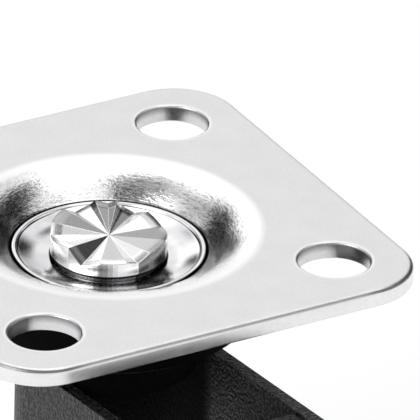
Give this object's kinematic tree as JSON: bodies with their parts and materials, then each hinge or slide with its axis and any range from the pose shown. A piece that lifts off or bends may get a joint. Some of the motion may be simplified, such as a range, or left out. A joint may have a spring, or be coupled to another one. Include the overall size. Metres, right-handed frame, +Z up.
{
  "type": "swivel castor with wheel lock",
  "caption": "Low swivel castor: square zinc top plate with a pressed dish and a star-headed kingpin, black hooded fork, ball-bearing wheel and a foot pedal that locks the wheel.",
  "frame": {"origin": "centre of the bolt holes on the plate's top mounting face", "axes": "+Z up, out of the mounting face and along the swivel axis; +X along the wheel's axle; the wheel trails and the pedal points to -Y"},
  "size_m": [0.073, 0.1103, 0.073],
  "materials": {
    "zinc_plate": "bright zinc plating with fine draw marks",
    "polished_steel": "polished",
    "bearing_steel": "hardened and ground",
    "ball_steel": "polished",
    "zinc_hardware": "bright zinc plating",
    "spring_steel": "satin",
    "black_powder_coat": "fine textured powder coat",
    "black_nylon": "moulded, satin",
    "tread_polyurethane": "moulded, smooth",
    "black_rubber": "matt",
    "blue_nylon": "moulded"
  },
  "bodies": {
    "plate": {"top_plate": "zinc_plate", "kingpin_washer": "polished_steel", "kingpin": "polished_steel", "upper_race": "bearing_steel", "lower_race": "bearing_steel", "tail_washer": "zinc_hardware"},
    "swivel_fork": {"fork": "black_powder_coat", "upper_balls": "ball_steel", "lower_balls": "ball_steel", "dust_seal": "black_rubber", "axle_bolt": "zinc_hardware", "axle_washers": "zinc_hardware", "axle_nut": "zinc_hardware", "nut_insert": "blue_nylon", "axle_spacers": "zinc_hardware", "bearing_spacer": "zinc_hardware", "bearing_inner_rings": "bearing_steel", "pedal_pin": "zinc_hardware", "pin_clips": "spring_steel", "pedal_spring": "spring_steel", "spring_rivet": "zinc_hardware"},
    "wheel": {"wheel_core": "black_nylon", "tyre": "tread_polyurethane", "bearing_outer_rings": "bearing_steel", "bearing_balls": "ball_steel", "bearing_shields": "bearing_steel", "thread_guards": "black_nylon"},
    "pedal": {"lock_pedal": "black_nylon", "brake_shoe": "zinc_hardware", "pedal_cover": "black_rubber"}
  },
  "joints": [
    {"name": "swivel", "type": "hinge", "parent": "plate", "child": "swivel_fork", "pos_m": [0, 0, -0.0125], "axis": [0, 0, 1], "continuous": true},
    {"name": "wheel_roll", "type": "hinge", "parent": "swivel_fork", "child": "wheel", "pos_m": [0, -0.033, -0.048], "axis": [1, 0, 0], "continuous": true},
    {"name": "pedal_press", "type": "hinge", "parent": "swivel_fork", "child": "pedal", "pos_m": [0, -0.05001, -0.02161], "axis": [1, 0, 0], "range_deg": [0, 28]}
  ]
}
